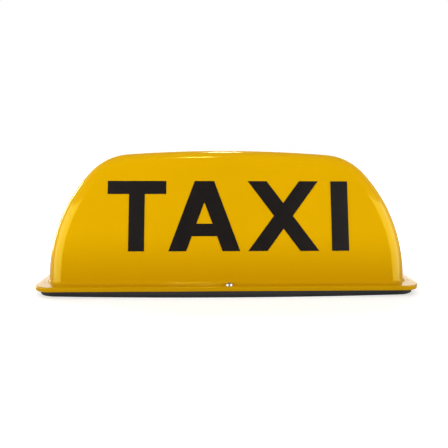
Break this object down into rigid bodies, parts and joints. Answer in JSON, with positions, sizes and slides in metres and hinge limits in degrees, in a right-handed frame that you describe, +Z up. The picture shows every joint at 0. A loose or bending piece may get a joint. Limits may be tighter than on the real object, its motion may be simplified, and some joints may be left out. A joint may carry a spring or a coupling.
{
  "type": "taxi roof sign",
  "caption": "Magnetic taxi roof sign: yellow acrylic dome with black block lettering on a low black base that holds pot magnets and sprung bayonet lamps.",
  "frame": {"origin": "middle of the footprint on the roof, at the underside of the rubber feet", "axes": "+Z up, +X along the sign to the right as its front is read, -Y the front face"},
  "size_m": [0.35, 0.13, 0.131],
  "materials": {
    "acrylic_yellow": "glossy vacuum-formed acrylic sheet",
    "vinyl_black": "satin cut vinyl film",
    "base_abs": "moulded ABS, fine texture",
    "rubber_black": "matt moulded rubber",
    "zinc_steel": "zinc-plated steel",
    "ferrite": "sintered ferrite",
    "brass_plain": "bright brass",
    "brass_nickel": "nickel-plated brass",
    "spring_steel": "drawn spring steel",
    "phenolic": "pressed phenolic laminate",
    "lamp_glass": "clear blown glass",
    "tungsten": "drawn tungsten wire",
    "solder": "tin solder",
    "nylon_natural": "moulded natural nylon",
    "pvc_red": "extruded PVC",
    "pvc_black": "extruded PVC"
  },
  "bodies": {
    "sign": {"dome": "acrylic_yellow", "front_lettering": "vinyl_black", "rear_lettering": "vinyl_black", "flange_gasket": "rubber_black", "base_plate": "base_abs", "rubber_skirt": "rubber_black", "cord_grommet": "rubber_black", "dome_screws": "zinc_steel", "magnet_boot_front_left": "rubber_black", "magnet_boot_front_right": "rubber_black", "magnet_boot_rear_left": "rubber_black", "magnet_boot_rear_right": "rubber_black", "magnet_pot_front_left": "zinc_steel", "magnet_pot_front_right": "zinc_steel", "magnet_pot_rear_left": "zinc_steel", "magnet_pot_rear_right": "zinc_steel", "magnet_ring_front_left": "ferrite", "magnet_ring_front_right": "ferrite", "magnet_ring_rear_left": "ferrite", "magnet_ring_rear_right": "ferrite", "magnet_screws": "zinc_steel", "magnet_washers": "zinc_steel", "magnet_nuts": "zinc_steel", "lamp_bracket": "zinc_steel", "bracket_screws": "zinc_steel", "lamp_holder_left": "brass_nickel", "lamp_holder_right": "brass_nickel", "holder_insulator_left": "phenolic", "holder_insulator_right": "phenolic", "solder_tag_left": "brass_plain", "solder_tag_right": "brass_plain", "contact_spring_left": "spring_steel", "contact_spring_right": "spring_steel", "terminal_block": "nylon_natural", "terminal_inserts": "brass_plain", "terminal_screws": "zinc_steel", "terminal_block_screw": "zinc_steel", "feed_lead_left": "pvc_red", "feed_lead_right": "pvc_red", "earth_lead": "pvc_black", "earth_ring": "brass_nickel"},
    "bulb_left": {"bulb_cap_left": "brass_nickel", "bulb_glass_left": "lamp_glass", "bulb_filament_left": "tungsten", "bulb_solder_left": "solder"},
    "contact_left": {"contact_disc_left": "phenolic", "contact_button_left": "brass_plain"},
    "bulb_right": {"bulb_cap_right": "brass_nickel", "bulb_glass_right": "lamp_glass", "bulb_filament_right": "tungsten", "bulb_solder_right": "solder"},
    "contact_right": {"contact_disc_right": "phenolic", "contact_button_right": "brass_plain"}
  },
  "joints": [
    {"name": "bulb_push_left", "type": "slide", "parent": "sign", "child": "bulb_left", "axis": [0, 0, -1], "range_m": [0, 0.002], "stiffness_N_per_m": 2000, "springref_m": -0.003},
    {"name": "contact_push_left", "type": "slide", "parent": "sign", "child": "contact_left", "axis": [0, 0, -1], "range_m": [0, 0.002], "deforming": ["contact_spring_left"]},
    {"name": "bulb_push_right", "type": "slide", "parent": "sign", "child": "bulb_right", "axis": [0, 0, -1], "range_m": [0, 0.002], "stiffness_N_per_m": 2000, "springref_m": -0.003},
    {"name": "contact_push_right", "type": "slide", "parent": "sign", "child": "contact_right", "axis": [0, 0, -1], "range_m": [0, 0.002], "deforming": ["contact_spring_right"]}
  ],
  "couplings": [
    {"joint": "contact_push_left", "follows": "bulb_push_left", "ratio": 1},
    {"joint": "contact_push_right", "follows": "bulb_push_right", "ratio": 1}
  ]
}
